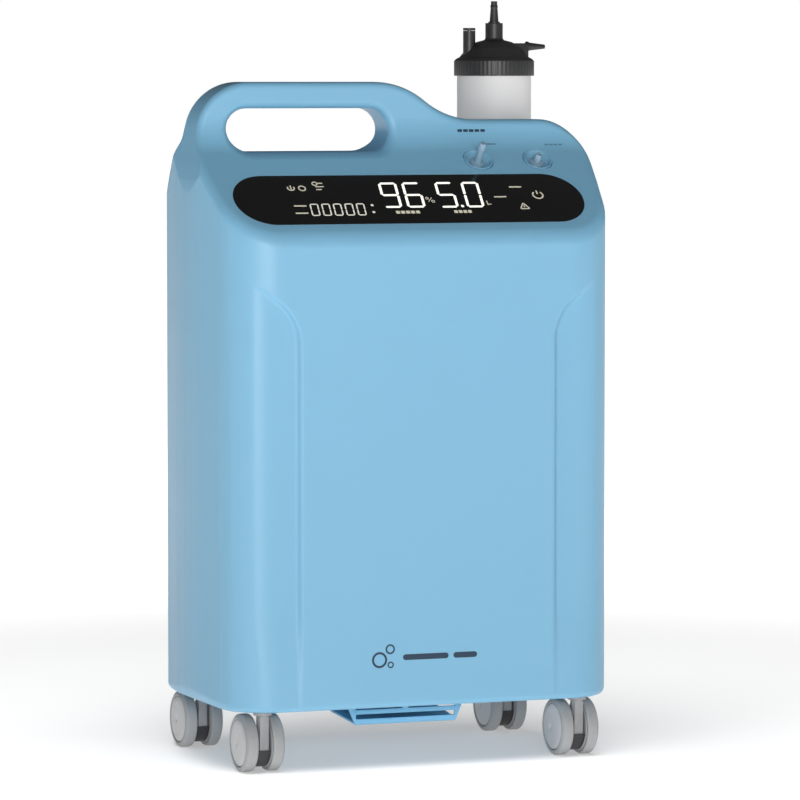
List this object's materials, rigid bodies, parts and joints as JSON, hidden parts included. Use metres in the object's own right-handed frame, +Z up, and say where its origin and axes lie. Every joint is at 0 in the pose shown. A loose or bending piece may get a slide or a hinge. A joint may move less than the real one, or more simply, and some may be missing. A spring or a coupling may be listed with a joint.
{
  "type": "oxygen concentrator",
  "caption": "Upright home oxygen concentrator: blue moulded cabinet with top handle slot, sloped black display, bubble humidifier in a rear niche and twin-wheel casters.",
  "frame": {"origin": "on the floor, under the middle of the cabinet", "axes": "+X to the user's right, +Y to the back, +Z up"},
  "size_m": [0.3704, 0.232, 0.6615],
  "materials": {
    "shell": "satin moulded ABS, sky blue",
    "hood": "satin moulded ABS, sky blue",
    "plate": "zinc-plated sheet steel",
    "screw": "zinc-plated steel",
    "window": "high-gloss tinted acrylic",
    "circuit_board": "solder-masked board",
    "cup": "satin",
    "nozzle": "translucent moulded",
    "jar": "frosted polycarbonate",
    "water": "clear water",
    "lid": "fine-grained black",
    "seal": "matt silicone",
    "tube": "translucent silicone",
    "diffuser": "sintered, porous",
    "foam": "open-cell foam",
    "black_plastic": "satin black nylon",
    "button": "gloss red",
    "caster_frame": "satin grey nylon",
    "wheel": "satin light grey nylon",
    "casting": "as cast",
    "rotor": "machined",
    "aluminium": "drawn"
  },
  "bodies": {
    "cabinet": {"front_shell": "shell", "rear_cover": "shell", "base_plate": "plate", "exhaust_hood": "hood", "cover_screws": "screw", "display_window": "window", "display_board": "circuit_board", "oxygen_cup": "cup", "oxygen_nozzle": "nozzle", "nebuliser_cup": "cup", "nebuliser_nozzle": "nozzle", "intake_filter": "foam", "power_inlet": "black_plastic", "breaker_body": "black_plastic", "caster_sockets": "black_plastic", "sound_box": "plate", "sound_box_lid": "plate", "compressor_motor": "casting", "compressor_head_left": "casting", "compressor_head_right": "casting", "rubber_mounts": "seal", "heat_exchanger": "aluminium", "fan_frame": "black_plastic", "sieve_bed_front": "aluminium", "sieve_bed_rear": "aluminium", "product_tank": "black_plastic", "valve_manifold": "casting", "control_board": "circuit_board", "product_hose": "tube"},
    "jar": {"humidifier_jar": "jar", "humidifier_water": "water"},
    "gasket": {"lid_gasket": "seal"},
    "lid": {"humidifier_lid": "lid", "inlet_barb": "lid", "outlet_horn": "lid", "dip_tube": "tube", "diffuser": "diffuser"},
    "relief_valve": {"relief_cap": "lid", "relief_spring": "screw"},
    "intake_door": {"filter_door": "shell"},
    "reset_button": {"breaker_button": "button"},
    "compressor_crank": {"compressor_rotor": "rotor"},
    "fan": {"fan_rotor": "black_plastic"},
    "caster_fl": {"caster_frame_fl": "caster_frame", "caster_axle_fl": "screw"},
    "wheel_fl_outer": {"wheel_fl_outer": "wheel"},
    "wheel_fl_inner": {"wheel_fl_inner": "wheel"},
    "caster_fr": {"caster_frame_fr": "caster_frame", "caster_axle_fr": "screw"},
    "wheel_fr_outer": {"wheel_fr_outer": "wheel"},
    "wheel_fr_inner": {"wheel_fr_inner": "wheel"},
    "caster_rl": {"caster_frame_rl": "caster_frame", "caster_axle_rl": "screw"},
    "wheel_rl_outer": {"wheel_rl_outer": "wheel"},
    "wheel_rl_inner": {"wheel_rl_inner": "wheel"},
    "caster_rr": {"caster_frame_rr": "caster_frame", "caster_axle_rr": "screw"},
    "wheel_rr_outer": {"wheel_rr_outer": "wheel"},
    "wheel_rr_inner": {"wheel_rr_inner": "wheel"}
  },
  "joints": [
    {"name": "jar_lift", "type": "slide", "parent": "cabinet", "child": "jar", "axis": [0, 0, 1], "range_m": [0, 0.12]},
    {"name": "lid_rise", "type": "slide", "parent": "jar", "child": "gasket", "axis": [0, 0, 1], "range_m": [0, 0.009]},
    {"name": "lid_unscrew", "type": "hinge", "parent": "gasket", "child": "lid", "pos_m": [0.132, 0.065, 0.6], "axis": [0, 0, 1], "range_deg": [0, 720]},
    {"name": "relief_pop", "type": "slide", "parent": "lid", "child": "relief_valve", "axis": [0, 0, 1], "range_m": [0, 0.0025], "stiffness_N_per_m": 400, "springref_m": -0.002, "deforming": ["relief_spring"]},
    {"name": "intake_door_hinge", "type": "hinge", "parent": "cabinet", "child": "intake_door", "pos_m": [0, 0.1125, 0.344], "axis": [1, 0, 0], "range_deg": [0, 85]},
    {"name": "breaker_press", "type": "slide", "parent": "cabinet", "child": "reset_button", "axis": [0, -1, 0], "range_m": [0, 0.003], "stiffness_N_per_m": 500},
    {"name": "compressor_spin", "type": "hinge", "parent": "cabinet", "child": "compressor_crank", "pos_m": [-0.035, 0, 0.1581], "axis": [1, 0, 0], "continuous": true},
    {"name": "fan_spin", "type": "hinge", "parent": "cabinet", "child": "fan", "pos_m": [-0.035, 0, 0.26], "axis": [0, 0, 1], "continuous": true},
    {"name": "swivel_fl", "type": "hinge", "parent": "cabinet", "child": "caster_fl", "pos_m": [-0.1456, -0.097, 0.05], "axis": [0, 0, 1], "continuous": true},
    {"name": "spin_fl_outer", "type": "hinge", "parent": "caster_fl", "child": "wheel_fl_outer", "pos_m": [-0.1456, -0.0825, 0.025], "axis": [1, 0, 0], "continuous": true},
    {"name": "spin_fl_inner", "type": "hinge", "parent": "caster_fl", "child": "wheel_fl_inner", "pos_m": [-0.1456, -0.0825, 0.025], "axis": [1, 0, 0], "continuous": true},
    {"name": "swivel_fr", "type": "hinge", "parent": "cabinet", "child": "caster_fr", "pos_m": [0.1456, -0.097, 0.05], "axis": [0, 0, 1], "continuous": true},
    {"name": "spin_fr_outer", "type": "hinge", "parent": "caster_fr", "child": "wheel_fr_outer", "pos_m": [0.1456, -0.0825, 0.025], "axis": [1, 0, 0], "continuous": true},
    {"name": "spin_fr_inner", "type": "hinge", "parent": "caster_fr", "child": "wheel_fr_inner", "pos_m": [0.1456, -0.0825, 0.025], "axis": [1, 0, 0], "continuous": true},
    {"name": "swivel_rl", "type": "hinge", "parent": "cabinet", "child": "caster_rl", "pos_m": [-0.1456, 0.068, 0.05], "axis": [0, 0, 1], "continuous": true},
    {"name": "spin_rl_outer", "type": "hinge", "parent": "caster_rl", "child": "wheel_rl_outer", "pos_m": [-0.1456, 0.0825, 0.025], "axis": [1, 0, 0], "continuous": true},
    {"name": "spin_rl_inner", "type": "hinge", "parent": "caster_rl", "child": "wheel_rl_inner", "pos_m": [-0.1456, 0.0825, 0.025], "axis": [1, 0, 0], "continuous": true},
    {"name": "swivel_rr", "type": "hinge", "parent": "cabinet", "child": "caster_rr", "pos_m": [0.1456, 0.068, 0.05], "axis": [0, 0, 1], "continuous": true},
    {"name": "spin_rr_outer", "type": "hinge", "parent": "caster_rr", "child": "wheel_rr_outer", "pos_m": [0.1456, 0.0825, 0.025], "axis": [1, 0, 0], "continuous": true},
    {"name": "spin_rr_inner", "type": "hinge", "parent": "caster_rr", "child": "wheel_rr_inner", "pos_m": [0.1456, 0.0825, 0.025], "axis": [1, 0, 0], "continuous": true}
  ],
  "couplings": [
    {"joint": "lid_unscrew", "follows": "lid_rise", "rad_per_m": 1396.3}
  ]
}
